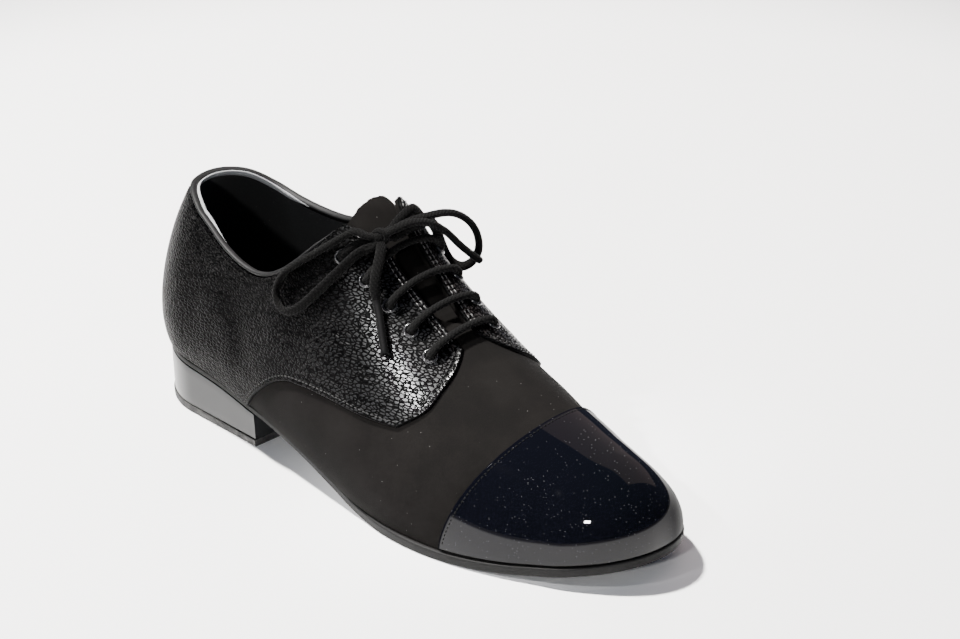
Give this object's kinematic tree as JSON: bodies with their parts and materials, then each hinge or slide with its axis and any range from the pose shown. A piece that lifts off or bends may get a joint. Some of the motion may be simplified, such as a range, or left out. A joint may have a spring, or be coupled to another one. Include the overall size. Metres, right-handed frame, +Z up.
{
  "type": "dance shoe",
  "caption": "Low lace-up practice dance shoe for the right foot, with open facings, a patent toe cap and back strip, grained quarters, a thin arched sole and a low block heel.",
  "frame": {"origin": "on the floor, under the middle of the box round the shoe without its bow", "axes": "+X from heel to toe, +Y to the inner (medial) side of the foot, +Z up"},
  "size_m": [0.284, 0.0992, 0.1178],
  "materials": {
    "nubuck": "matte, napped",
    "grain": "semi-gloss, pebble grain",
    "patent": "patent, mirror gloss",
    "sole": "satin, dyed black",
    "heel": "gloss lacquer",
    "rubber": "matte",
    "lining": "matte",
    "binding": "smooth, satin",
    "enamel": "gloss enamel",
    "lace": "woven, matte"
  },
  "bodies": {
    "root": {"outsole": "sole", "heel": "heel", "heel_lift": "rubber", "insole": "lining", "upper": "nubuck", "quarter_lateral": "grain", "quarter_medial": "grain", "back_strip": "patent", "toe_cap": "patent", "tongue": "nubuck", "collar_binding": "binding", "eyelet_lateral_1": "enamel", "eyelet_lateral_2": "enamel", "eyelet_lateral_3": "enamel", "eyelet_lateral_4": "enamel", "eyelet_lateral_5": "enamel", "eyelet_medial_1": "enamel", "eyelet_medial_2": "enamel", "eyelet_medial_3": "enamel", "eyelet_medial_4": "enamel", "eyelet_medial_5": "enamel", "lace_bar_1": "lace", "lace_bar_2": "lace", "lace_bar_3": "lace", "lace_bar_4": "lace", "lace_feed_lateral": "lace", "lace_feed_medial": "lace", "lace_knot": "lace", "lace_loop_medial": "lace", "lace_loop_lateral": "lace", "lace_end_medial": "lace", "lace_end_lateral": "lace"}
  },
  "joints": []
}
